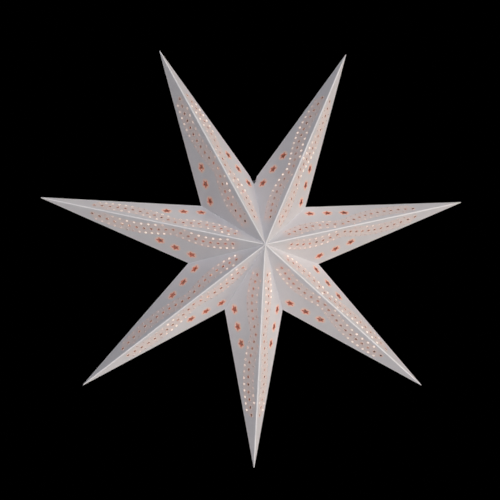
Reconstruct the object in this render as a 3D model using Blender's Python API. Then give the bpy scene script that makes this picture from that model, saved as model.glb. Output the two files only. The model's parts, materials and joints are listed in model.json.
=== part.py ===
"""Seven-pointed paper star lantern that folds flat, with its lampholder and lamp. Metres, +Z up.

The star faces -Y and hangs by the lampholder's cord nipple, whose top centre is the origin. Each arm
is four paper panels that meet at creases, and the star opens along the seam at its top notch.
"""
import math

import bpy
from mathutils import Vector
from mathutils.geometry import tessellate_polygon

# Driving dimensions of the star
ARMS = 7
TIP_RADIUS = 0.300
NOTCH_RADIUS = 0.092
HALF_DEPTH = 0.094
STAR_CENTRE_Z = -0.0925
SHEET = 0.0004
FOLD_GAP = 0.0003
EDGE_CUT = 0.0004
BACK_RIDGE_EXTRA = 0.0011
BACK_VALLEY_EXTRA = 0.0005
CORD_HOLE_RADIUS = 0.0047

# Star-shaped cut-outs: distance along the ridge from the apex, and across from the ridge
CUTOUTS = ((0.1025, 0.0558), (0.1250, 0.0473), (0.1464, 0.0387))
CUTOUT_POINTS = 5
CUTOUT_RADIUS = 0.0048
CUTOUT_INNER_SHARE = 0.47

# Closing flaps and their hook-and-loop pads, in the plane of the top seam
PAD_THICK = 0.0009
FLAP_X = FOLD_GAP / 2 + PAD_THICK + FOLD_GAP + SHEET / 2
FLAP_START = 0.050
FLAP_SLOPE = 0.108
FLAP_CLEAR_Y = 0.0172
FLAP_TOP = 0.0004
PADS = ((0.060, 0.0090), (0.084, 0.0100))  # middle of each pad down the seam, and its length
PAD_MARGIN = 0.0010

# Lampholder and lamp, as distances down from the nipple's top. A profile is a loop of (radius, z).
NIPPLE_RADIUS = 0.0040
NIPPLE_BORE = 0.0030
NIPPLE_LENGTH = 0.0165
HOLDER_RADIUS = 0.0140
HOLDER_END = 0.0560
LAMP_TOP = 0.0365
LAMP_LENGTH = 0.0780
GLOBE_RADIUS = 0.0225
GLOBE_NECK = 0.0118
GLASS = 0.0010
SHELL_TOP, SHELL_END = 0.0353, 0.0500
SHELL_INNER, SHELL_OUTER = 0.0073, 0.0079
CAP_PROFILE = (
    (0.0043, -0.0080), (0.0060, -0.0080), (0.0133, -0.0162), (HOLDER_RADIUS, -0.0176),
    (HOLDER_RADIUS, -0.0290), (0.0124, -0.0290), (0.0124, -0.0182), (0.0115, -0.0172),
    (0.0052, -0.0102), (0.0043, -0.0102),
)
SKIRT_PROFILE = (
    (0.0112, -0.0205), (0.0121, -0.0205), (0.0121, -0.0293), (HOLDER_RADIUS, -0.0293),
    (HOLDER_RADIUS, -0.0330), (0.0132, -0.0340), (0.0128, -HOLDER_END), (0.0112, -HOLDER_END),
)
BLOCK_PROFILE = ((0, -0.0300), (0.0109, -0.0300), (0.0109, -0.0350), (0, -0.0350))
CENTRE_CONTACT = ((-0.0015, -0.0040, -0.0360), (0.0015, 0.0040, -0.0354))
SIDE_CONTACT = ((0.0083, -0.0020, -0.0440), (0.0092, 0.0020, -0.0353))
NUT_ACROSS, NUT_HOLE = 0.0066, 0.0043
NUT_LOW, NUT_HIGH = -0.0152, -0.0128

# Lamp pieces, as (radius, distance below the lamp's top)
TIP_PROFILE = ((0, 0), (0.0018, 0.0002), (0.0026, 0.0009), (0.0026, 0.0017), (0, 0.0017))
INSULATOR_PROFILE = ((0, 0.0020), (0.0032, 0.0020), (0.0060, 0.0042), (0, 0.0042))
COLLAR_PROFILE = (
    (0, 0.0150), (0.0054, 0.0150), (0.0054, 0.0198), (0.0072, 0.0198), (0.0085, 0.0240),
    (0.0118, 0.0330), (0.0118, 0.0355), (0.0106, 0.0358), (0.0106, 0.0340), (0, 0.0340),
)
BOARD_PROFILE = ((0, 0.0343), (0.0095, 0.0343), (0.0095, 0.0353), (0, 0.0353))
THREAD_TOP, THREAD_END = 0.0045, 0.0195
THREAD_ROOT, THREAD_CREST = 0.0063, 0.0068
THREAD_PITCH = 0.0025
THREAD_WALL = 0.0005

# How finely round shapes are faceted
FINE, COARSE, TIP_SEGMENTS = 32, 24, 16
GLOBE_STEPS = 14
RIM_STEPS = 6
SHARP_ANGLE = math.radians(30)

# Looks: colour, roughness, and where needed metallic and glow
PAPER = ((0.93, 0.90, 0.86), 0.85)
PAD = ((0.86, 0.85, 0.82), 0.95)
BLACK = ((0.03, 0.03, 0.03), 0.4)
CERAMIC = ((0.86, 0.84, 0.78), 0.5)
BRASS = ((0.8, 0.62, 0.3), 0.3, 1.0)
BLACK_GLASS = ((0.02, 0.02, 0.02), 0.2)
WHITE_PLASTIC = ((0.92, 0.92, 0.90), 0.4)
BOARD = ((0.95, 0.93, 0.80), 0.5)
OPAL = ((1.0, 0.78, 0.5), 0.3, 0.0, 2.0)

CENTRE = Vector((0, 0, STAR_CENTRE_Z))
OFFSET = (SHEET + FOLD_GAP) / 2


def clear_scene():
    for obj in list(bpy.data.objects):
        bpy.data.objects.remove(obj)


def material(name, colour, rough, metal=0.0, glow=0.0):
    """A Principled material of the object's own."""
    made = bpy.data.materials.new(name)
    made.use_nodes = True
    shader = made.node_tree.nodes["Principled BSDF"]
    shader.inputs["Base Color"].default_value = (*colour, 1)
    shader.inputs["Roughness"].default_value = rough
    shader.inputs["Metallic"].default_value = metal
    shader.inputs["Emission Color"].default_value = (*colour, 1)
    shader.inputs["Emission Strength"].default_value = glow
    return made


def add_solid(name, points, faces, look, origin=None, parent=None):
    """An object from world points, with its own origin and parent."""
    origin = Vector(origin) if origin is not None else Vector()
    mesh = bpy.data.meshes.new(name)
    mesh.from_pydata([tuple(Vector(p) - origin) for p in points], [], faces)
    mesh.update()
    obj = bpy.data.objects.new(name, mesh)
    bpy.context.scene.collection.objects.link(obj)
    mesh.materials.append(material(name, *look))
    place(obj, origin, parent)
    return obj


def place(obj, origin, parent):
    """Puts an object's origin at a world point, under a parent that isn't turned."""
    base = Vector()
    above = parent
    while above:
        base += above.location
        above = above.parent
    obj.parent = parent
    obj.location = origin - base


def slab(loops, to_world, low, high):
    """Points and faces of a flat plate: an outline first, then its holes, as 2-D loops."""
    flat = [p for loop in loops for p in loop]
    tris = tessellate_polygon([[Vector((*p, 0)) for p in loop] for loop in loops])
    n = len(flat)
    points = [to_world(*p, high) for p in flat] + [to_world(*p, low) for p in flat]
    faces = []
    for a, b, c in tris:
        pa, pb, pc = flat[a], flat[b], flat[c]
        turn = (pb[0] - pa[0]) * (pc[1] - pa[1]) - (pb[1] - pa[1]) * (pc[0] - pa[0])
        if turn < 0:
            b, c = c, b
        faces += [(a, b, c), (a + n, c + n, b + n)]
    start = 0
    for number, loop in enumerate(loops):
        inward = (signed_area(loop) < 0) != (number > 0)
        for i in range(len(loop)):
            p, q = start + i, start + (i + 1) % len(loop)
            if inward:
                p, q = q, p
            faces.append((p, p + n, q + n, q))
        start += len(loop)
    return points, faces


def signed_area(loop):
    total = 0
    for (x0, y0), (x1, y1) in zip(loop, loop[1:] + loop[:1]):
        total += x0 * y1 - x1 * y0
    return total / 2


def turned(profile, segments, axis=(0, 0)):
    """Points and faces of a ring or a solid turned round a vertical line from a closed (radius, z) loop."""
    if signed_area(profile) < 0:
        profile = profile[::-1]
    points, rows = [], []
    for radius, z in profile:
        if radius == 0:
            rows.append([len(points)] * segments)
            points.append(Vector((axis[0], axis[1], z)))
            continue
        rows.append(list(range(len(points), len(points) + segments)))
        for i in range(segments):
            a = 2 * math.pi * i / segments
            points.append(Vector((axis[0] + radius * math.cos(a), axis[1] + radius * math.sin(a), z)))
    faces = []
    for row, after in zip(rows, rows[1:] + rows[:1]):
        for i in range(segments):
            j = (i + 1) % segments
            corners = []
            for index in (row[i], row[j], after[j], after[i]):
                if index not in corners:
                    corners.append(index)
            if len(corners) > 2:
                faces.append(tuple(corners))
    return points, faces


# The star's ideal corners and creases


def spoke(step):
    """Unit vector towards arm number step, counted anticlockwise from the bottom as the front shows it."""
    a = 2 * math.pi * step / ARMS
    return Vector((math.sin(a), 0, -math.cos(a)))


def apex(side):
    return CENTRE + Vector((0, -side * HALF_DEPTH, 0))


def tip(arm):
    return CENTRE + TIP_RADIUS * spoke(arm)


def notch(step):
    return CENTRE + NOTCH_RADIUS * spoke(step)


def panel_frame(arm, hand, side):
    """Apex, direction along the ridge, direction across towards the notch, and outward normal."""
    start = apex(side)
    along = (tip(arm) - start).normalized()
    reach = notch(arm + hand / 2) - start
    across = (reach - reach.dot(along) * along).normalized()
    return start, along, across, outward(along, across, side)


def outward(along, across, side):
    normal = along.cross(across).normalized()
    return -normal if normal.y * side > 0 else normal


def half_angle(first, second):
    """Half the angle between two panels across their common crease."""
    return math.acos(max(-1, min(1, first.dot(second)))) / 2


def away_from(crease, point, base):
    """Unit vector square to a crease line, from the line towards a point."""
    reach = point - base
    return (reach - reach.dot(crease) * crease).normalized()


def ridge_half_angle():
    start, along, _, _ = panel_frame(0, 1, 1)
    left = away_from(along, notch(0.5), start)
    right = away_from(along, notch(-0.5), start)
    return half_angle(left, right)


def valley_half_angle():
    start = apex(1)
    crease = (notch(0.5) - start).normalized()
    return half_angle(away_from(crease, tip(0), start), away_from(crease, tip(1), start))


RIDGE_CUT = OFFSET / math.tan(ridge_half_angle())
VALLEY_CUT = OFFSET / math.tan(valley_half_angle())


def ridge_axis(arm):
    """Point and direction of a front ridge's hinge line, which lies on the inner side of the sheets."""
    start, along, _, _ = panel_frame(arm, 1, 1)
    inward = away_from(along, CENTRE, start)
    return start + inward * OFFSET / math.sin(ridge_half_angle()), along


def valley_axis(step):
    """Point and direction of a front valley's hinge line, which lies on the outer side of the sheets."""
    start = apex(1)
    crease = (notch(step) - start).normalized()
    outside = -away_from(crease, CENTRE, start)
    return start + outside * OFFSET / math.sin(valley_half_angle()), crease


def edge_axis(arm, hand):
    """Point and direction of the hinge line between a front panel and the back panel behind it."""
    base = notch(arm + hand / 2)
    return base, (tip(arm) - base).normalized()


# Paper pieces


def meet(first, second):
    """Where two 2-D lines (point, direction) cross."""
    (px, py), (dx, dy) = first
    (qx, qy), (ex, ey) = second
    t = ((qx - px) * ey - (qy - py) * ex) / (dx * ey - dy * ex)
    return (px + t * dx, py + t * dy)


def line_through(first, second):
    return first, (second[0] - first[0], second[1] - first[1])


def cut_line(start, end, inside, cut):
    """The line start-end moved by cut towards the point inside."""
    dx, dy = end[0] - start[0], end[1] - start[1]
    length = math.hypot(dx, dy)
    nx, ny = -dy / length, dx / length
    if (inside[0] - start[0]) * nx + (inside[1] - start[1]) * ny < 0:
        nx, ny = -nx, -ny
    return (start[0] + nx * cut, start[1] + ny * cut), (dx, dy)


def panel_outline(arm, hand, side):
    """The panel's trimmed triangle, in distances along and across the ridge."""
    start, along, across, _ = panel_frame(arm, hand, side)
    reach = notch(arm + hand / 2) - start
    far = ((tip(arm) - start).length, 0.0)
    corner = (reach.dot(along), reach.dot(across))
    middle = ((far[0] + corner[0]) / 3, corner[1] / 3)
    back = side < 0
    ridge = cut_line((0, 0), far, middle, RIDGE_CUT + back * BACK_RIDGE_EXTRA)
    valley = cut_line((0, 0), corner, middle, VALLEY_CUT + back * BACK_VALLEY_EXTRA)
    edge = cut_line(corner, far, middle, EDGE_CUT)
    inner = meet(ridge, valley)
    outer = meet(ridge, edge)
    if at_seam(arm, hand):
        return [inner, outer] + cord_hole_rim(arm, hand, side, edge, valley)
    return [inner, outer, meet(edge, valley)]


def at_seam(arm, hand):
    return arm + hand / 2 in (3.5, -3.5)


def cord_hole_rim(arm, hand, side, edge, valley):
    """Corner points that leave the cord hole open round the vertical line through the notch."""
    start, along, across, _ = panel_frame(arm, hand, side)
    reach = notch(arm + hand / 2) - start
    corner = (reach.dot(along), reach.dot(across))
    first = math.atan2(edge[1][1], edge[1][0])
    sweep = math.atan2(-valley[1][1], -valley[1][0]) - first
    sweep -= 2 * math.pi * round(sweep / (2 * math.pi))
    rim = []
    for i in range(RIM_STEPS + 1):
        a = first + sweep * i / RIM_STEPS
        heading = math.cos(a) * along + math.sin(a) * across
        radius = CORD_HOLE_RADIUS / math.hypot(heading.x, heading.y)
        rim.append((corner[0] + radius * math.cos(a), corner[1] + radius * math.sin(a)))
    rim[0] = meet(edge, line_through(rim[0], rim[1]))
    rim[-1] = meet(valley, line_through(rim[-1], rim[-2]))
    return rim


def cutout_loop(u, v):
    """A star-shaped cut-out that points along the ridge."""
    loop = []
    for i in range(2 * CUTOUT_POINTS):
        radius = CUTOUT_RADIUS * (CUTOUT_INNER_SHARE if i % 2 else 1)
        a = math.pi * i / CUTOUT_POINTS
        loop.append((u + radius * math.cos(a), v + radius * math.sin(a)))
    return loop


def panel_name(arm, hand, side):
    return f"{'front' if side > 0 else 'back'}_panel_{arm % ARMS + 1}{'a' if hand > 0 else 'b'}"


def add_panel(arm, hand, side, origin, parent):
    start, along, across, normal = panel_frame(arm, hand, side)
    flip = along.cross(across).dot(normal) < 0

    def to_world(u, v, w):
        return start + u * along + (-v if flip else v) * across + w * normal

    loops = [panel_outline(arm, hand, side)] + [cutout_loop(u, v) for u, v in CUTOUTS]
    if flip:
        loops = [[(u, -v) for u, v in loop] for loop in loops]
    points, faces = slab(loops, to_world, -SHEET / 2, SHEET / 2)
    return add_solid(panel_name(arm, hand, side), points, faces, PAPER, origin, parent)


def seam_point(along, inward, side):
    """A (y, z) point of the seam plane: along the valley from the apex, then inward from it."""
    start, end = apex(side), notch(ARMS / 2)
    crease = (end - start).normalized()
    across = away_from(crease, CENTRE, start)
    spot = start + along * crease + inward * across
    return spot.y, spot.z


def flap_outline(side):
    """A tapered strip below the valley, cut off upright beside the lampholder."""
    upper = line_through(seam_point(0, FLAP_TOP, side), seam_point(1, FLAP_TOP, side))
    lower = line_through(seam_point(0, 0, side), seam_point(1, FLAP_SLOPE, side))
    upright = ((-side * FLAP_CLEAR_Y, 0), (0, 1))
    return [
        seam_point(FLAP_START, FLAP_TOP, side),
        meet(upper, upright),
        meet(lower, upright),
        seam_point(FLAP_START, FLAP_START * FLAP_SLOPE, side),
    ]


def pad_outline(along, length, side):
    """A pad in the middle of the flap's width, with a margin at both edges."""
    outer, inner = FLAP_TOP + PAD_MARGIN, along * FLAP_SLOPE - PAD_MARGIN
    start, end = along - length / 2, along + length / 2
    corners = ((start, outer), (end, outer), (end, inner), (start, inner))
    return [seam_point(*corner, side) for corner in corners]


def seam_slab(name, outline, thickness, hand, look, panel):
    """A plate in the seam plane, on one side of it and between two distances from it."""
    low, high = sorted(hand * distance for distance in thickness)

    def to_world(y, z, x):
        return Vector((x, y, z))

    points, faces = slab([outline], to_world, low, high)
    return add_solid(name, points, faces, look, panel.matrix_world.translation, panel)


def add_flap(side, hand, panel):
    """A closing flap with its two pads. hand is the side of the seam plane, +1 for +X."""
    bpy.context.view_layer.update()
    where = f"{'front' if side > 0 else 'back'}_{'right' if hand > 0 else 'left'}"
    kind = "loop" if hand > 0 else "hook"
    sheet = (FLAP_X - SHEET / 2, FLAP_X + SHEET / 2)
    pad = (FOLD_GAP / 2, FOLD_GAP / 2 + PAD_THICK)
    seam_slab(f"flap_{where}", flap_outline(side), sheet, hand, PAPER, panel)
    for number, (along, length) in enumerate(PADS, 1):
        outline = pad_outline(along, length, side)
        seam_slab(f"{kind}_pad_{where}_{number}", outline, pad, hand, PAD, panel)


def build_star(root):
    """All panels, in the order in which the creases join them upwards from the bottom arm."""
    fronts = {}
    for hand in (1, -1):
        before = fronts.get((0, 1), root)
        for step in range(ARMS):
            arm = hand * ((step + 1) // 2)
            on_ridge = step % 2 == 0
            near = hand if on_ridge else -hand
            crease = ridge_axis(arm) if on_ridge else valley_axis(arm - hand / 2)
            before = add_panel(arm, near, 1, crease[0], before)
            fronts[arm, near] = before
    backs = {}
    for (arm, hand), front in fronts.items():
        backs[arm, hand] = add_panel(arm, hand, -1, edge_axis(arm, hand)[0], front)
    top_arm = ARMS // 2
    for side, panels in ((1, fronts), (-1, backs)):
        add_flap(side, 1, panels[top_arm, 1])
        add_flap(side, -1, panels[-top_arm, -1])


# Lampholder


def ring(inner, outer, top, bottom):
    return [(inner, -top), (outer, -top), (outer, -bottom), (inner, -bottom)]


def add_turned(name, profile, look, parent, segments=COARSE):
    """A round piece about the origin's vertical line, shaded smooth except at its sharp corners."""
    points, faces = turned(list(profile), segments)
    made = add_solid(name, points, faces, look, parent.location if parent else None, parent)
    made.data.shade_smooth()
    made.data.set_sharp_from_angle(angle=SHARP_ANGLE)
    return made


def add_plate(name, loops, low, high, parent):
    """A flat brass plate from its outline and holes, between two heights."""

    def to_world(x, y, z):
        return Vector((x, y, z))

    points, faces = slab(loops, to_world, low, high)
    return add_solid(name, points, faces, BRASS, None, parent)


def circle_loop(radius, count):
    turns = [2 * math.pi * i / count for i in range(count)]
    return [(radius * math.cos(a), radius * math.sin(a)) for a in turns]


def add_contact(name, corners, parent):
    (x0, y0, z0), (x1, y1, z1) = corners
    return add_plate(name, [[(x0, y0), (x1, y0), (x1, y1), (x0, y1)]], z0, z1, parent)


def build_lampholder():
    """The fixed body: everything that stays on the cord."""
    cap = add_turned("holder_cap", CAP_PROFILE, BLACK, None, FINE)
    nipple = ring(NIPPLE_BORE, NIPPLE_RADIUS, 0, NIPPLE_LENGTH)
    add_turned("cord_nipple", nipple, BLACK, cap, FINE)
    nut = [circle_loop(NUT_ACROSS, 6), circle_loop(NUT_HOLE, FINE)]
    add_plate("nipple_locknut", nut, NUT_LOW, NUT_HIGH, cap)
    add_turned("holder_skirt", SKIRT_PROFILE, BLACK, cap, FINE)
    add_turned("contact_block", BLOCK_PROFILE, CERAMIC, cap)
    add_turned("screw_shell", ring(SHELL_INNER, SHELL_OUTER, SHELL_TOP, SHELL_END), BRASS, cap)
    add_contact("centre_contact", CENTRE_CONTACT, cap)
    add_contact("side_contact", SIDE_CONTACT, cap)
    return cap


# Lamp


def globe_profile():
    """An opal shell that is open at its neck."""
    centre = -(LAMP_TOP + LAMP_LENGTH - GLOBE_RADIUS)
    first = math.asin(GLOBE_NECK / GLOBE_RADIUS)
    outer, inner = [], []
    for i in range(GLOBE_STEPS + 1):
        a = first + (math.pi - first) * i / GLOBE_STEPS
        sine = 0 if i == GLOBE_STEPS else math.sin(a)
        outer.append((GLOBE_RADIUS * sine, centre + GLOBE_RADIUS * math.cos(a)))
        inner.append(((GLOBE_RADIUS - GLASS) * sine, centre + (GLOBE_RADIUS - GLASS) * math.cos(a)))
    return outer + inner[::-1]


def thread_profile():
    """A rolled screw cap: a wavy outer wall and a plain bore."""
    half_waves = 2 * round((THREAD_END - THREAD_TOP) / THREAD_PITCH)
    wave = []
    for i in range(half_waves + 1):
        depth = THREAD_TOP + (THREAD_END - THREAD_TOP) * i / half_waves
        wave.append((THREAD_CREST if i % 2 else THREAD_ROOT, depth))
    bore = THREAD_ROOT - THREAD_WALL
    return wave + [(bore, THREAD_END), (bore, THREAD_TOP)]


def below_top(profile):
    """A lamp piece's profile, moved to the height at which the lamp sits in its holder."""
    return [(radius, -LAMP_TOP - depth) for radius, depth in profile]


def build_lamp():
    carrier = bpy.data.objects.new("lamp_slide", None)
    bpy.context.scene.collection.objects.link(carrier)
    carrier.location = (0, 0, -LAMP_TOP)
    add_turned("lamp_tip", below_top(TIP_PROFILE), BRASS, carrier, TIP_SEGMENTS)
    add_turned("lamp_insulator", below_top(INSULATOR_PROFILE), BLACK_GLASS, carrier)
    add_turned("lamp_screw_cap", below_top(thread_profile()), BRASS, carrier)
    add_turned("lamp_collar", below_top(COLLAR_PROFILE), WHITE_PLASTIC, carrier, FINE)
    add_turned("led_board", below_top(BOARD_PROFILE), BOARD, carrier)
    add_turned("lamp_globe", globe_profile(), OPAL, carrier, FINE)


def main():
    clear_scene()
    cap = build_lampholder()
    build_lamp()
    build_star(cap)


main()
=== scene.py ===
"""Looks of the paper star lantern: folded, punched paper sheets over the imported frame. Metres, +Z up.

Each arm's front is one sheet that bends at its ridge, each back panel is a sheet of its own, and rounded
strips join the front to the back along the outline. The lampholder and the lamp keep their CAD shapes,
and their turned pieces are shaded smooth.
"""
import json
import math
from collections import namedtuple

import bmesh
import bpy
from mathutils import Matrix, Vector
from mathutils.geometry import delaunay_2d_cdt


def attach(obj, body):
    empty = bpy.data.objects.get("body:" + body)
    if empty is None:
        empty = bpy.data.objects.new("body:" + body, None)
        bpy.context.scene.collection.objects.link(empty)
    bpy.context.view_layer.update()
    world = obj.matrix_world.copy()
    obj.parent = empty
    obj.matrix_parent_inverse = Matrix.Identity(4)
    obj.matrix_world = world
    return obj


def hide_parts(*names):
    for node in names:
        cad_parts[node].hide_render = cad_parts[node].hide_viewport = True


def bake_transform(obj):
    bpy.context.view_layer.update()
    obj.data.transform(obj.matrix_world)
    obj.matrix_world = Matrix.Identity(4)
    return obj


# Driving dimensions of the star, as in the CAD. Arm 0 points down, and the arms with the numbers
# TOP_ARM and -TOP_ARM meet at the seam.
ARMS = 7
TOP_ARM = ARMS // 2
TIP_RADIUS = 0.300
NOTCH_RADIUS = 0.092
HALF_DEPTH = 0.094
CENTRE = Vector((0, 0, -0.0925))
CORD_HOLE_RADIUS = 0.0047

# Sheet, and how far its edges stay from the ideal creases
SHEET = 0.00038
VALLEY_INSET = 0.00020
EDGE_INSET = 0.00046

# Strip beside the outer edge where the painted highlight fades out: its width, and where its border
# starts and ends as shares of that edge. A share of the valley's length is where the painted highlight ends.
EDGE_STRIP = 0.0011
EDGE_STRIP_ENDS = (0.035, 0.94)
VALLEY_PLAIN = 0.99

# Rounded crest on the ridge: how far it reaches down each panel, and where it narrows
CREST = 0.0017
CREST_AT_APEX, CREST_AT_TIP = 0.00002, 0.00025
CREST_TAPER_START, CREST_TAPER_END = 0.010, 0.026

# How finely the bends are divided
CREST_STATIONS, CREST_STEPS = 14, 6
FOLD_STATIONS, FOLD_STEPS = 10, 4
RIM_STEPS = 6

# Where the outer edge's two ends come in a sheet's outline: at the tip, and near the notch
TIP_END, NOTCH_END = CREST_STATIONS, CREST_STATIONS + 1

# Strips glued inside the valleys: each leg's width, and the distances from the apex and from the notch
# where a strip starts and ends
TAB_SHEET = 0.00020
TAB_GAP = 0.00003
TAB_WIDTH, TAB_SHORT = 0.0050, 0.0012
TAB_START, TAB_END, SEAM_TAB_END = 0.0060, 0.0030, 0.0830
TAB_TAPER = 0.3
TAB_BEND = 0.0005
TAB_STATIONS = 8

# Shading, and the turned pieces of the lampholder and the lamp that get it
SHARP_ANGLE = math.radians(32)
FULL_WEIGHT = 100
WELD = 0.000005
TURNED = (
    "holder_cap", "holder_skirt", "cord_nipple", "contact_block", "screw_shell", "centre_contact",
    "lamp_tip", "lamp_insulator", "lamp_screw_cap", "lamp_collar", "led_board", "lamp_globe",
)

# Paper's colours and the painted highlight of its crests and folds, then the lamp's light as it shows
# round the cut-outs and in the small holes
PAPER = (0.80, 0.785, 0.79)
PAPER_SHADE = (0.77, 0.755, 0.765)
PAPER_FIBRE = (0.86, 0.845, 0.845)
PAPER_HIGHLIGHT = (0.93, 0.915, 0.91)
HALO_COLOUR = (1.0, 0.60, 0.42)
RIM_COLOUR = (0.56, 0.10, 0.05)
HALO_START = 0.62
RIM_GLOW = 0.18
SPARK_COLOUR = (1.0, 0.84, 0.70)
SPARK_SCALE = 14
SPARK_STRENGTH = 1.2
SPARK_START, SPARK_FULL = 0.45, 0.62

# Colours of the other materials and of the studio, and the lamp's light
PILE, PILE_DARK, PILE_LIGHT = (0.78, 0.77, 0.73), (0.55, 0.54, 0.50), (0.90, 0.89, 0.85)
BLACK_PLASTIC, WHITE_PLASTIC = (0.025, 0.025, 0.026), (0.87, 0.87, 0.85)
CERAMIC, BLACK_GLASS = (0.80, 0.78, 0.71), (0.02, 0.02, 0.025)
BRASS = (0.80, 0.60, 0.28)
BRASS_DULL = (0.66, 0.49, 0.25)
OPAL = (0.95, 0.9, 0.82)
BOARD, BOARD_DARK, BOARD_LIGHT = (0.95, 0.93, 0.8), (0.9, 0.88, 0.74), (0.97, 0.95, 0.85)
LAMP_LIGHT, LAMP_LIGHT_DEEP = (1.0, 0.16, 0.06), (1.0, 0.14, 0.05)
LAMP_STRENGTH = 2.6
FLOOR, FLOOR_DARK, FLOOR_LIGHT = (0.72, 0.71, 0.70), (0.70, 0.69, 0.68), (0.76, 0.75, 0.74)
BACKGROUND = (0, 0, 0)

# Studio: each softbox's distance from the star, azimuth and elevation in degrees, size, power and colour
Softbox = namedtuple("Softbox", "name distance azimuth elevation size power colour")
SOFTBOXES = (
    Softbox("front softbox", 5.5, 3, 15, 2.4, 163, (0.91, 0.915, 0.99)),
    Softbox("right softbox", 5.5, 48, 10, 2.4, 90, (1.0, 0.86, 0.70)),
    Softbox("back softbox", 5.5, 180, 30, 2.4, 250, (1.0, 0.98, 0.97)),
)
FLOOR_Z = -0.95
FLOOR_RADIUS = 3.0
FLOOR_SIDES = 48

# Camera, turned about the star's centre. The view is VIEW_WIDTH wide at that distance.
CAMERA_DISTANCE = 3.681
CAMERA_YAW = math.radians(9.59)
CAMERA_PITCH = math.radians(-3.39)
CAMERA_ROLL = math.radians(-0.48)
CAMERA_SHIFT = (-0.0072, -0.0029)
VIEW_WIDTH = 0.6817
SENSOR = 36.0

# Star-shaped cut-outs: distance along the ridge from the apex, and across from the ridge
CUTOUTS = ((0.1025, 0.0558), (0.1250, 0.0473), (0.1464, 0.0387))
CUTOUT_POINTS = 5
CUTOUT_RADIUS = 0.0048
CUTOUT_INNER_SHARE = 0.47
CUTOUT_HALO = 0.0036

# Punched band beside the ridge: two swags, each (start, end, rise), with rows of holes on and beside them
BAND_FLOOR = 0.0095
BAND_START, BAND_END = 0.0365, 0.2405
SWAG_JOIN = 0.127
SWAGS = ((0.036, SWAG_JOIN, 0.0112), (SWAG_JOIN, 0.243, 0.0110))
ROW_MARGIN = 0.0045

# A row's pitch, phase and distance from the swag; its holes' radius and sides; the burr's width and height
# that the punch leaves round each hole; and how far the lamp's light tints that burr and shines through it
Row = namedtuple("Row", "pitch phase offset radius sides burr height tint glow")
ROWS = (  # on the swag, then beside it towards the outline, and towards the ridge
    Row(0.0103, 0.0, 0.0, 0.0019, 10, 0.0006, 0.0004, 0.7, 0.0),
    Row(0.0087, 0.5, 0.0090, 0.0009, 8, 0.0009, 0.0006, 0.3, 1.0),
    Row(0.0100, 0.5, -0.0092, 0.0009, 8, 0.0009, 0.0006, 0.3, 1.0),
)

# The lamp's haze over the band: its strength, and the loop that it fills
BAND_HAZE = 0.18
BAND_HALF_WIDTH, BAND_POINT, BAND_CLEAR = 0.0125, 0.005, 0.0022
BAND_STEPS = 20

# What a point of a sheet carries: the lamp's tint and glow there, how far a painted highlight
# pales the paper, and its height over the flat panel
Mark = namedtuple("Mark", "tint glow crest height")
PLAIN = Mark(0.0, 0.0, 0.0, 0.0)
# Paper paled by a painted highlight, on the crests and on the folds along the outline
PAINTED_HIGHLIGHT = Mark(0.0, 0.0, 1.0, 0.0)

# A hole's loop and the Mark along it, and a wider ring round it with the Mark along that
Hole = namedtuple("Hole", "loop edge ring around")

# Triangulation: keep the triangles inside the loops, and take points this close together as one
TRIANGLES_INSIDE = 1
SAME_POINT = 1e-9


# The star's ideal corners, and the plane of each panel


def spoke(step):
    """Unit vector towards arm number step, counted anticlockwise from the bottom as seen in front."""
    a = 2 * math.pi * step / ARMS
    return Vector((math.sin(a), 0, -math.cos(a)))


def apex(side):
    return CENTRE + Vector((0, -side * HALF_DEPTH, 0))


def tip(arm):
    return CENTRE + TIP_RADIUS * spoke(arm)


def notch(step):
    return CENTRE + NOTCH_RADIUS * spoke(step)


def square_to(line, reach):
    """Unit vector of the part of reach that is square to a line."""
    return (reach - reach.dot(line) * line).normalized()


class Panel:
    """One flat panel's plane: u runs along the ridge from the apex, v across towards the notch."""

    def __init__(self, arm, hand, side):
        self.start = apex(side)
        self.along = (tip(arm) - self.start).normalized()
        corner = notch(arm + hand / 2) - self.start
        self.across = square_to(self.along, corner)
        self.length = (tip(arm) - self.start).length
        self.corner = (corner.dot(self.along), corner.dot(self.across))
        normal = self.along.cross(self.across).normalized()
        self.mirrored = normal.y * side > 0
        self.normal = -normal if self.mirrored else normal
        self.at_seam = abs(arm + hand / 2) == ARMS / 2

    def world(self, u, v, w=0.0):
        return self.start + u * self.along + v * self.across + w * self.normal


def label(arm, hand):
    """An arm's number, counted from 1, and a letter for one half of it."""
    return f"{arm % ARMS + 1}{'a' if hand > 0 else 'b'}"


def body_name(arm, hand, side):
    return f"{'front' if side > 0 else 'back'}_{label(arm, hand)}"


def panel_node(arm, hand, side):
    return body_name(arm, hand, side).replace("_", "_panel_")


# Outlines and holes of a sheet, in its panel's (u, v)


def meet(first, second):
    """Where two 2-D lines (point, direction) cross."""
    (px, py), (dx, dy) = first
    (qx, qy), (ex, ey) = second
    t = ((qx - px) * ey - (qy - py) * ex) / (dx * ey - dy * ex)
    return (px + t * dx, py + t * dy)


def line_through(first, second):
    return first, (second[0] - first[0], second[1] - first[1])


def inset_line(start, end, cut):
    """The line from start to end, moved by cut to its left, or to its right if cut is negative."""
    dx, dy = end[0] - start[0], end[1] - start[1]
    length = math.hypot(dx, dy)
    return (start[0] - dy / length * cut, start[1] + dx / length * cut), (dx, dy)


def smooth(share):
    share = max(0.0, min(1.0, share))
    return share * share * (3 - 2 * share)


def crest_reach(u, length):
    """How far the rounded crest reaches down a panel. It narrows towards the apex and the tip."""
    at_apex = CREST_AT_APEX + (CREST - CREST_AT_APEX) * smooth(u / CREST_TAPER_START)
    at_tip = CREST_AT_TIP + (CREST - CREST_AT_TIP) * smooth((length - u) / CREST_TAPER_END)
    return min(at_apex, at_tip)


def sheet_corner(panel):
    """The sheet's outer edge, its valley edge, and the corner near the notch where they meet."""
    edge = inset_line(panel.corner, (panel.length, 0), -EDGE_INSET)
    corner = meet(edge, inset_line((0, 0), panel.corner, -VALLEY_INSET))
    return edge, line_through((0, 0), corner), corner


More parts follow.
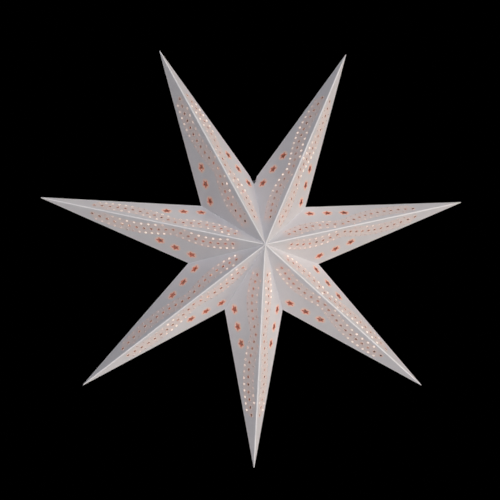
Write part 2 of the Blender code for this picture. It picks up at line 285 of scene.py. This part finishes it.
def crest_stations(panel):
    """Points along the crest's border, closer together where it narrows."""
    edge, valley, _ = sheet_corner(panel)
    first = meet(valley, ((0, CREST_AT_APEX), (1, 0)))
    last = meet(edge, ((0, CREST_AT_TIP), (1, 0)))
    points = [first]
    for i in range(1, CREST_STATIONS):
        u = first[0] + (last[0] - first[0]) * (1 - math.cos(math.pi * i / CREST_STATIONS)) / 2
        points.append((u, crest_reach(u, panel.length)))
    return points + [last]


def cord_hole_rim(panel, edge, valley):
    """Corner points that leave the cord hole open round the vertical line through the notch."""
    first = math.atan2(edge[1][1], edge[1][0])
    sweep = math.atan2(-valley[1][1], -valley[1][0]) - first
    sweep -= 2 * math.pi * round(sweep / (2 * math.pi))
    rim = []
    for i in range(RIM_STEPS + 1):
        a = first + sweep * i / RIM_STEPS
        heading = math.cos(a) * panel.along + math.sin(a) * panel.across
        radius = CORD_HOLE_RADIUS / math.hypot(heading.x, heading.y)
        rim.append((panel.corner[0] + radius * math.cos(a), panel.corner[1] + radius * math.sin(a)))
    rim[0] = meet(edge, line_through(rim[0], rim[1]))
    rim[-1] = meet(valley, line_through(rim[-1], rim[-2]))
    return rim


def sheet_outline(panel):
    """Crest border from apex to tip, then back along the outer edge and the valley."""
    edge, valley, corner = sheet_corner(panel)
    if panel.at_seam:
        return crest_stations(panel) + cord_hole_rim(panel, edge, valley)
    beside = (corner[0] * VALLEY_PLAIN, corner[1] * VALLEY_PLAIN)
    return crest_stations(panel) + [corner, beside]


def edge_strip(panel):
    """A line on a sheet beside its outer edge, where the painted highlight along that edge ends."""
    (u, v), (du, dv) = inset_line(panel.corner, (panel.length, 0), -EDGE_INSET - EDGE_STRIP)
    return [(u + share * du, v + share * dv) for share in EDGE_STRIP_ENDS]


def polygon(u, v, radius, sides, turn=0.0):
    angles = [turn + 2 * math.pi * i / sides for i in range(sides)]
    return [(u + radius * math.cos(a), v + radius * math.sin(a)) for a in angles]


def cutout_loop(u, v):
    """A star-shaped cut-out that points along the ridge."""
    outer = polygon(u, v, CUTOUT_RADIUS, CUTOUT_POINTS)
    inner = polygon(u, v, CUTOUT_RADIUS * CUTOUT_INNER_SHARE, CUTOUT_POINTS, math.pi / CUTOUT_POINTS)
    return [point for pair in zip(outer, inner) for point in pair]


def band_height(u):
    """The middle row's distance from the ridge."""
    for start, end, rise in SWAGS:
        if start <= u <= end:
            return BAND_FLOOR + rise * math.sin(math.pi * (u - start) / (end - start))
    return BAND_FLOOR


def band_border():
    """A loop round the band, where the lamp's haze ends."""
    stations = [BAND_START + (BAND_END - BAND_START) * i / BAND_STEPS for i in range(BAND_STEPS + 1)]
    upper = [(u, band_height(u) + BAND_HALF_WIDTH) for u in stations]
    lower = [(u, max(band_height(u) - BAND_HALF_WIDTH, BAND_CLEAR)) for u in reversed(stations)]
    return [(BAND_START - BAND_POINT, BAND_FLOOR), *upper, (BAND_END + BAND_POINT, BAND_FLOOR), *lower]


def row_holes(row):
    """One row's holes, spaced evenly to both sides of the point where the swags join."""
    holes = []
    edge = Mark(row.tint, row.glow, 0.0, row.height)
    around = Mark(BAND_HAZE, 0.0, 0.0, 0.0)
    first = math.ceil((BAND_START - SWAG_JOIN) / row.pitch - row.phase)
    last = math.floor((BAND_END - SWAG_JOIN) / row.pitch - row.phase)
    for number in range(first, last + 1):
        u = SWAG_JOIN + (number + row.phase) * row.pitch
        v = band_height(u) + row.offset
        if v > ROW_MARGIN:
            loop = polygon(u, v, row.radius, row.sides)
            ring = polygon(u, v, row.radius + row.burr, row.sides)
            holes.append(Hole(loop, edge, ring, around))
    return holes


def punched_holes():
    holes = []
    edge = Mark(1.0, 0.0, 0.0, 0.0)
    for u, v in CUTOUTS:
        ring = polygon(u, v, CUTOUT_RADIUS + CUTOUT_HALO, 3 * CUTOUT_POINTS)
        holes.append(Hole(cutout_loop(u, v), edge, ring, PLAIN))
    for row in ROWS:
        holes += row_holes(row)
    return holes


# Meshes


def inside(point, loop):
    """Whether a 2-D point is inside a loop, by counting the sides that a ray crosses."""
    crossed = False
    for (x0, y0), (x1, y1) in zip(loop, loop[1:] + loop[:1]):
        if (y0 > point[1]) != (y1 > point[1]):
            crossed ^= point[0] < x0 + (point[1] - y0) * (x1 - x0) / (y1 - y0)
    return crossed


def flat_sheet(outline, guides, holes):
    """Triangles of an outline with holes: its points, each point's Mark, and its faces.

    Both ends of the outline's outer edge carry the painted highlight. The triangles keep to the guides.
    """
    loops = [(outline, PLAIN, None)] + [(guide, PLAIN, None) for guide in guides]
    for number, hole in enumerate(holes):
        loops += [(hole.loop, hole.edge, number), (hole.ring, hole.around, None)]
    flat, marks, hole_of, edges = [], [], [], []
    for loop, mark, number in loops:
        start = len(flat)
        flat += [Vector(point) for point in loop]
        marks += [mark] * len(loop)
        hole_of += [number] * len(loop)
        edges += [(start + i, start + (i + 1) % len(loop)) for i in range(len(loop))]
    # The outer edge's two ends are paler, a painted highlight
    marks[TIP_END] = marks[NOTCH_END] = PAINTED_HIGHLIGHT
    points, _, faces, origins, _, _ = delaunay_2d_cdt(flat, edges, [], TRIANGLES_INSIDE, SAME_POINT)
    source = [ids[0] for ids in origins]
    kept = []
    for face in faces:
        owners = {hole_of[source[i]] for i in face}
        middle = sum((points[i] for i in face), Vector((0, 0))) / 3
        in_hole = len(owners) == 1 and None not in owners and inside(middle, holes[owners.pop()].loop)
        if not in_hole and inside(middle, outline):
            kept.append(tuple(face))
    return points, [marks[i] for i in source], kept


def new_object(name, data):
    """An object with that data, in the scene."""
    obj = bpy.data.objects.new(name, data)
    bpy.context.scene.collection.objects.link(obj)
    return obj


def build_mesh(name, points, faces, values):
    """A mesh object from world points, with each named value as an attribute of its points."""
    mesh = bpy.data.meshes.new(name)
    mesh.from_pydata([tuple(p) for p in points], [], faces)
    mesh.update()
    for key, numbers in values.items():
        mesh.attributes.new(key, "FLOAT", "POINT").data.foreach_set("value", numbers)
    return new_object(name, mesh)


def bake(obj):
    """Turns the modifiers into the object's own mesh."""
    graph = bpy.context.evaluated_depsgraph_get()
    obj.data = bpy.data.meshes.new_from_object(obj.evaluated_get(graph))
    obj.modifiers.clear()


def shade(obj):
    """Shades bends smooth, flat stretches flat and corners sharp."""
    obj.data.shade_smooth()
    obj.data.set_sharp_from_angle(angle=SHARP_ANGLE)
    weighted = obj.modifiers.new("flat stretches", "WEIGHTED_NORMAL")
    weighted.keep_sharp = True
    weighted.weight = FULL_WEIGHT
    bake(obj)


def thicken(obj, thickness):
    """Gives a surface a sheet's thickness, half of it to either side."""
    solid = obj.modifiers.new("sheet", "SOLIDIFY")
    solid.thickness = thickness
    solid.offset = 0.0
    bake(obj)
    shade(obj)


class Surface:
    """World points and faces that are collected for one sheet."""

    def __init__(self):
        self.points, self.faces = [], []
        self.values = {"tint": [], "glow": [], "crest": []}

    def add_point(self, point, mark=PLAIN):
        self.points.append(point)
        for key, numbers in self.values.items():
            numbers.append(getattr(mark, key))
        return len(self.points) - 1

    def add_panel(self, panel, pattern):
        """A panel's flat part, from its flat_sheet. Returns the numbers of its points."""
        flat, marks, faces = pattern
        numbers = []
        for (u, v), mark in zip(flat, marks):
            numbers.append(self.add_point(panel.world(u, v, mark.height), mark))
        for face in faces:
            corners = [numbers[i] for i in face]
            self.faces.append(tuple(reversed(corners)) if panel.mirrored else tuple(corners))
        return numbers

    def add_strip(self, rows, outward):
        """Quads between rows of point numbers, facing outward."""
        a, b, c = (self.points[i] for i in (rows[0][0], rows[0][1], rows[1][0]))
        facing = (b - a).cross(c - a).dot(outward) > 0
        for row, after in zip(rows, rows[1:]):
            for i in range(len(row) - 1):
                corners = (row[i], row[i + 1], after[i + 1], after[i])
                self.faces.append(corners if facing else corners[::-1])

    def build(self, name, thickness):
        obj = build_mesh(name, self.points, self.faces, self.values)
        thicken(obj, thickness)
        obj.data.materials.clear()
        obj.data.materials.append(bpy.data.materials["lantern paper"])
        return obj


def bend_points(base, first, second, reach, steps):
    """Points of a rounded bend between two planes that meet on a line, from the first to the second.

    base is a point on the line; first and second run down the planes, square to the line. The arc
    touches both planes at distance reach from the line.
    """
    half = first.angle(second) / 2
    inward = (first + second).normalized()
    sideways = square_to(inward, first)
    radius = reach * math.tan(half)
    centre = base + inward * radius / math.sin(half)
    points = []
    for i in range(steps + 1):
        a = (math.pi / 2 - half) * (1 - 2 * i / steps)
        points.append(centre + radius * (math.sin(a) * sideways - math.cos(a) * inward))
    return points


# Paper pieces


PATTERNS = {}


def pattern_of(panel):
    """A panel's flat_sheet. Panels at the seam share one, and all the others share another."""
    if panel.at_seam not in PATTERNS:
        guides = [edge_strip(panel), band_border()]
        PATTERNS[panel.at_seam] = flat_sheet(sheet_outline(panel), guides, punched_holes())
    return PATTERNS[panel.at_seam]


def crest_border(panel, pattern, numbers):
    """The numbers of a panel's points on the crest's border, from apex to tip."""
    border = []
    for station in crest_stations(panel):
        distances = [(point - Vector(station)).length_squared for point in pattern[0]]
        border.append(numbers[distances.index(min(distances))])
    return border


def add_crest(surface, one, other, border, far_border=None):
    """The rounded crest from one panel's border to the other's, or to its own last row of points."""
    rows = []
    for i, (u, reach) in enumerate(crest_stations(one)):
        arc = bend_points(one.start + u * one.along, one.across, other.across, reach, CREST_STEPS)
        # The crest's arc is paler, a painted highlight
        middle = [surface.add_point(point, PAINTED_HIGHLIGHT) for point in arc[1:-1]]
        last = far_border[i] if far_border else surface.add_point(arc[-1])
        rows.append([border[i], *middle, last])
    surface.add_strip(rows, one.normal + other.normal)


def build_front_sheet(arm):
    """Both front panels of an arm and the crest between them."""
    panels = [Panel(arm, hand, 1) for hand in (1, -1)]
    surface = Surface()
    borders = []
    for panel in panels:
        pattern = pattern_of(panel)
        borders.append(crest_border(panel, pattern, surface.add_panel(panel, pattern)))
    add_crest(surface, *panels, *borders)
    sheet = surface.build(f"front_sheet_{arm % ARMS + 1}", SHEET)
    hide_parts(panel_node(arm, 1, 1), panel_node(arm, -1, 1))
    one, other = panels
    ridge = one.world(one.length / 2, 0)
    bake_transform(sheet)


def build_back_sheet(arm, hand):
    """One back panel. The a side also carries the rounded crest as far as the b side."""
    panel, other = Panel(arm, hand, -1), Panel(arm, -hand, -1)
    pattern = pattern_of(panel)
    surface = Surface()
    numbers = surface.add_panel(panel, pattern)
    if hand > 0:
        add_crest(surface, panel, other, crest_border(panel, pattern, numbers))
    sheet = surface.build(f"back_sheet_{label(arm, hand)}", SHEET)
    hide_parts(panel_node(arm, hand, -1))
    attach(sheet, body_name(arm, hand, -1))


def build_edge_fold(arm, hand):
    """The rounded fold from a front panel to the back panel behind it, along the outline."""
    front, back = Panel(arm, hand, 1), Panel(arm, hand, -1)
    base = notch(arm + hand / 2)
    line = (tip(arm) - base).normalized()
    outline = sheet_outline(front)
    start, end = ((front.world(*outline[i]) - base).dot(line) for i in (NOTCH_END, TIP_END))
    surface = Surface()
    rows = []
    for i in range(FOLD_STATIONS + 1):
        spot = base + line * (start + (end - start) * i / FOLD_STATIONS)
        first, second = (square_to(line, apex(side) - spot) for side in (1, -1))
        arc = bend_points(spot, first, second, EDGE_INSET, FOLD_STEPS)
        # The whole fold is paler, a painted highlight
        rows.append([surface.add_point(point, PAINTED_HIGHLIGHT) for point in arc])
    surface.add_strip(rows, spoke(arm + hand / 2))
    fold = surface.build(f"edge_fold_{label(arm, hand)}", SHEET)
    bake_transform(fold)


def tab_widths(arm, blends):
    """The widths of a valley strip's two legs: short beside the closing flaps, and past an open crease."""
    first = TAB_SHORT if arm == -TOP_ARM else TAB_WIDTH
    second = TAB_WIDTH if blends and arm + 1 != TOP_ARM else TAB_SHORT
    return first, second


def add_tab(surface, arm, side, end, widths):
    """A strip bent along the valley between an arm and the next, from TAB_START to end. Returns its bend."""
    crease = (notch(arm + 0.5) - apex(side)).normalized()
    first, second = (square_to(crease, tip(number) - apex(side)) for number in (arm, arm + 1))
    inward = -(first + second).normalized()
    depth = (SHEET / 2 + TAB_GAP + TAB_SHEET / 2) / math.sin(first.angle(second) / 2)
    rows = []
    for i in range(TAB_STATIONS + 1):
        reach = TAB_START + (end - TAB_START) * i / TAB_STATIONS
        base = apex(side) + crease * reach + inward * depth
        taper = min(1.0, reach * TAB_TAPER / TAB_WIDTH)
        legs = [max(width * taper, 2 * TAB_BEND) for width in widths]
        arc = bend_points(base, first, second, TAB_BEND, FOLD_STEPS)
        row = [base + first * legs[0], *arc, base + second * legs[1]]
        rows.append([surface.add_point(point) for point in row])
    surface.add_strip(rows, -inward)
    return (second - first).normalized() * TAB_BEND


def build_valley_tab(arm, side):
    """The glued strip inside a valley. It rides on one panel, except at the front valleys."""
    at_seam = arm == TOP_ARM
    blends = side > 0 and not at_seam
    valley = notch(arm + 0.5) - apex(side)
    end = valley.length - (SEAM_TAB_END if at_seam else TAB_END)
    surface = Surface()
    sideways = add_tab(surface, arm, side, end, tab_widths(arm, blends))
    name = f"{'front' if side > 0 else 'back'}_tab_{arm % ARMS + 1}_{(arm + 1) % ARMS + 1}"
    tab = surface.build(name, TAB_SHEET)
    bodies = body_name(arm, 1, side), body_name(arm + 1, -1, side)
    if blends:
        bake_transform(tab)
    else:
        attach(tab, bodies[0])


def build_paper():
    for arm in range(-TOP_ARM, TOP_ARM + 1):
        build_front_sheet(arm)
        for hand in (1, -1):
            build_back_sheet(arm, hand)
            build_edge_fold(arm, hand)
        for side in (1, -1):
            build_valley_tab(arm, side)


def build_turned(node):
    """A smooth copy of a turned CAD piece, which comes in with a flat shade on each facet."""
    source = frame["nodes"][node]
    mesh = bmesh.new()
    mesh.from_mesh(source.data)
    bmesh.ops.remove_doubles(mesh, verts=mesh.verts, dist=WELD)
    piece = new_object(f"{node}_turned", bpy.data.meshes.new(node))
    mesh.to_mesh(piece.data)
    mesh.free()
    shade(piece)
    piece.data.materials.clear()
    piece.data.materials.append(source.material_slots[0].material)
    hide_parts(node)
    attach(piece, BODIES[node])


# Materials


class Nodes:
    """Short calls for building one material's nodes."""

    # Places of the mix node's colour sockets: its two inputs and its result
    FIRST_COLOUR, SECOND_COLOUR, MIXED_COLOUR = 6, 7, 2

    def __init__(self, name, colour, rough, metal=0.0):
        self.material = bpy.data.materials.new(name)
        self.material.use_nodes = True
        self.tree = self.material.node_tree
        self.shader = self.tree.nodes["Principled BSDF"]
        self.set(self.shader, "Base Color", (*colour, 1))
        self.set(self.shader, "Roughness", rough)
        self.set(self.shader, "Metallic", metal)
        self.place = self.tree.nodes.new("ShaderNodeTexCoord").outputs["Object"]

    def set(self, node, key, value):
        """Sets an input to a value, or links it to another node's output."""
        if isinstance(value, bpy.types.NodeSocket):
            self.tree.links.new(value, node.inputs[key])
        else:
            node.inputs[key].default_value = value

    def noise(self, scale, detail, stretch=None):
        texture = self.tree.nodes.new("ShaderNodeTexNoise")
        self.set(texture, "Scale", scale)
        self.set(texture, "Detail", detail)
        if stretch:
            mapping = self.tree.nodes.new("ShaderNodeMapping")
            self.set(mapping, "Vector", self.place)
            self.set(mapping, "Scale", stretch)
            self.set(texture, "Vector", mapping.outputs["Vector"])
        else:
            self.set(texture, "Vector", self.place)
        return texture.outputs["Fac"]

    def ramp(self, value, low, high, start=0.0, end=1.0):
        """Maps a value between start and end to one between low and high."""
        node = self.tree.nodes.new("ShaderNodeMapRange")
        self.set(node, "Value", value)
        self.set(node, "From Min", start)
        self.set(node, "From Max", end)
        self.set(node, "To Min", low)
        self.set(node, "To Max", high)
        return node.outputs["Result"]

    def mix(self, share, first, second):
        """Mixes two colours, of which the second has the share."""
        node = self.tree.nodes.new("ShaderNodeMix")
        node.data_type = "RGBA"
        self.set(node, "Factor", share)
        for place, colour in ((self.FIRST_COLOUR, first), (self.SECOND_COLOUR, second)):
            is_socket = isinstance(colour, bpy.types.NodeSocket)
            self.set(node, place, colour if is_socket else (*colour, 1))
        return node.outputs[self.MIXED_COLOUR]

    def attribute(self, name):
        node = self.tree.nodes.new("ShaderNodeAttribute")
        node.attribute_name = name
        return node.outputs["Fac"]

    def bump(self, height, strength, distance):
        node = self.tree.nodes.new("ShaderNodeBump")
        self.set(node, "Height", height)
        self.set(node, "Strength", strength)
        self.set(node, "Distance", distance)
        self.set(self.shader, "Normal", node.outputs["Normal"])


def paper_material():
    """White card with a fibrous face. It glows faintly where the lamp's light reaches a cut edge."""
    nodes = Nodes("lantern paper", PAPER, rough=0.8)
    cloud = nodes.ramp(nodes.noise(scale=26, detail=4), low=0, high=1, start=0.35, end=0.65)
    fibre = nodes.noise(scale=1400, detail=2, stretch=(1, 1, 0.35))
    colour = nodes.mix(cloud, PAPER, PAPER_SHADE)
    colour = nodes.mix(nodes.ramp(fibre, low=0, high=0.5, start=0.45, end=0.75), colour, PAPER_FIBRE)
    # Painted highlight: the paper is paler on the crests and on the folds along the outline
    colour = nodes.mix(nodes.attribute("crest"), colour, PAPER_HIGHLIGHT)
    tint, glow = nodes.attribute("tint"), nodes.attribute("glow")
    lit = nodes.mix(nodes.ramp(tint, low=0, high=1, start=HALO_START), HALO_COLOUR, RIM_COLOUR)
    colour = nodes.mix(tint, colour, lit)
    nodes.set(nodes.shader, "Base Color", colour)
    nodes.set(nodes.shader, "Roughness", nodes.ramp(fibre, low=0.7, high=0.9))
    # Painted glow: the lamp's colour round the cut edges, and painted glints in patches on the small holes'
    # burrs
    nodes.set(nodes.shader, "Emission Color", nodes.mix(glow, lit, SPARK_COLOUR))
    patches = nodes.noise(scale=SPARK_SCALE, detail=2)
    spark = nodes.ramp(patches, low=0, high=SPARK_STRENGTH, start=SPARK_START, end=SPARK_FULL)
    rim = nodes.ramp(tint, low=0, high=RIM_GLOW)
    nodes.set(nodes.shader, "Emission Strength", nodes.ramp(glow, low=rim, high=spark))
    nodes.bump(fibre, strength=0.25, distance=0.0002)


def hook_material():
    """Nylon pile on a woven backing."""
    nodes = Nodes("hook and loop", PILE, rough=0.95)
    pile = nodes.noise(scale=2600, detail=2)
    nodes.set(nodes.shader, "Base Color", nodes.mix(pile, PILE_DARK, PILE_LIGHT))
    nodes.set(nodes.shader, "Sheen Weight", 0.4)
    nodes.bump(pile, strength=0.9, distance=0.0006)
    return nodes.material


def plastic_material(name, colour, rough, grain):
    """Moulded plastic with a fine spark-eroded grain and faint flow marks."""
    nodes = Nodes(name, colour, rough)
    flow = nodes.noise(scale=90, detail=3)
    darker = tuple(0.8 * c for c in colour)
    nodes.set(nodes.shader, "Base Color", nodes.mix(flow, darker, colour))
    wear = nodes.noise(scale=700, detail=2)
    nodes.set(nodes.shader, "Roughness", nodes.ramp(wear, low=rough - 0.06, high=rough + 0.08))
    nodes.bump(nodes.noise(scale=2200, detail=1), strength=grain, distance=0.0001)
    return nodes.material


def metal_material():
    """Brass-plated sheet: drawn marks round it, and duller patches."""
    nodes = Nodes("plated metal", BRASS, rough=0.3, metal=1.0)
    marks = nodes.noise(scale=500, detail=2, stretch=(1, 1, 12))
    patches = nodes.noise(scale=160, detail=3)
    nodes.set(nodes.shader, "Base Color", nodes.mix(patches, BRASS, BRASS_DULL))
    nodes.set(nodes.shader, "Roughness", nodes.ramp(marks, low=0.2, high=0.42))
    nodes.bump(marks, strength=0.15, distance=0.0001)
    return nodes.material


def opal_material():
    """The lit globe: opal glass with a faintly uneven glow."""
    nodes = Nodes("opal glass", OPAL, rough=0.25)
    patches = nodes.noise(scale=40, detail=2)
    nodes.set(nodes.shader, "Emission Color", nodes.mix(patches, LAMP_LIGHT, LAMP_LIGHT_DEEP))
    nodes.set(nodes.shader, "Emission Strength", LAMP_STRENGTH)
    return nodes.material


def board_material():
    """The white board with the lit diodes, inside the globe."""
    nodes = Nodes("led board", BOARD, rough=0.45)
    patches = nodes.noise(scale=900, detail=1)
    nodes.set(nodes.shader, "Base Color", nodes.mix(patches, BOARD_DARK, BOARD_LIGHT))
    nodes.set(nodes.shader, "Emission Color", (*LAMP_LIGHT, 1))
    nodes.set(nodes.shader, "Emission Strength", LAMP_STRENGTH)
    return nodes.material


def dress_nodes():
    """Gives each CAD node the finished material of its slot."""
    looks = {
        "hook_and_loop": hook_material(),
        "black_plastic": plastic_material("black plastic", BLACK_PLASTIC, rough=0.36, grain=0.12),
        "plated_metal": metal_material(),
        "contact_block": plastic_material("contact block", CERAMIC, rough=0.55, grain=0.3),
        "lamp_insulator": plastic_material("insulator glass", BLACK_GLASS, rough=0.12, grain=0.02),
        "lamp_collar": plastic_material("lamp collar", WHITE_PLASTIC, rough=0.35, grain=0.08),
        "led_board": board_material(),
        "opal_glass": opal_material(),
        "paper": bpy.data.materials["lantern paper"],
    }
    for node, slot_name in SLOTS.items():
        for slot in frame["nodes"][node].material_slots:
            slot.material = looks[slot_name]


# Studio


def add_softbox(box):
    """A square area light that faces the star. Azimuth 0 is in front of the star and 90 to its right."""
    a, e = math.radians(box.azimuth), math.radians(box.elevation)
    away = Vector((math.sin(a) * math.cos(e), -math.cos(a) * math.cos(e), math.sin(e)))
    data = bpy.data.lights.new(box.name, "AREA")
    data.size = box.size
    data.energy = box.power
    data.color = box.colour
    lamp = new_object(box.name, data)
    lamp.location = CENTRE + box.distance * away
    lamp.rotation_mode = "QUATERNION"
    lamp.rotation_quaternion = away.to_track_quat("Z", "Y")
    lamp.visible_camera = False


def build_studio():
    world = bpy.data.worlds.new("dark room")
    world.use_nodes = True
    world.node_tree.nodes["Background"].inputs["Color"].default_value = (*BACKGROUND, 1)
    bpy.context.scene.world = world
    for box in SOFTBOXES:
        add_softbox(box)
    nodes = Nodes("studio floor", FLOOR, rough=0.8)
    patches = nodes.noise(scale=3, detail=4)
    nodes.set(nodes.shader, "Base Color", nodes.mix(patches, FLOOR_DARK, FLOOR_LIGHT))
    angles = [2 * math.pi * i / FLOOR_SIDES for i in range(FLOOR_SIDES)]
    rim = [(FLOOR_RADIUS * math.sin(a), -FLOOR_RADIUS * math.cos(a), FLOOR_Z) for a in angles]
    floor = build_mesh("floor", rim, [tuple(range(len(rim)))], {})
    floor.data.materials.append(nodes.material)


def build_camera():
    """The photograph's viewing angle: from the left of the star's axis and a little below it."""
    turn = Matrix.Rotation(CAMERA_YAW, 4, "Y") @ Matrix.Rotation(CAMERA_PITCH, 4, "X")
    turn = turn @ Matrix.Rotation(CAMERA_ROLL, 4, "Z")
    star_to_world = Matrix(((1, 0, 0, 0), (0, 0, -1, 0), (0, 1, 0, 0), (0, 0, 0, 1)))
    data = bpy.data.cameras.new("camera")
    data.sensor_width = SENSOR
    data.lens = SENSOR * CAMERA_DISTANCE / VIEW_WIDTH
    data.shift_x, data.shift_y = CAMERA_SHIFT
    camera = new_object("camera", data)
    facing = star_to_world @ turn.inverted()
    back = Matrix.Translation((0, 0, CAMERA_DISTANCE))
    camera.matrix_world = Matrix.Translation(CENTRE) @ facing @ back
    bpy.context.scene.camera = camera
    bpy.context.scene.view_settings.view_transform = "Standard"


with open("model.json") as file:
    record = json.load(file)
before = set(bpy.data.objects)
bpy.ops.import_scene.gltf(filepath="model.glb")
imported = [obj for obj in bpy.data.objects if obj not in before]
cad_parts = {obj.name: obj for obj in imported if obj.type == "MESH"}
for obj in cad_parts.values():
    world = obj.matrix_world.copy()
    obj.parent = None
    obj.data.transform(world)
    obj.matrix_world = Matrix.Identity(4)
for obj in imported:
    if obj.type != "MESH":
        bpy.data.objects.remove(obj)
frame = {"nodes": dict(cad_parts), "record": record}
record = frame["record"]
SLOTS = {part["node"]: part["material_slot"] for part in record["subparts"]}
BODIES = {node: body for body, nodes in record["behaviour"]["bodies"].items() for node in nodes}
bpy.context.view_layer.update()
paper_material()
build_paper()
dress_nodes()
for turned in TURNED:
    build_turned(turned)
build_studio()
build_camera()
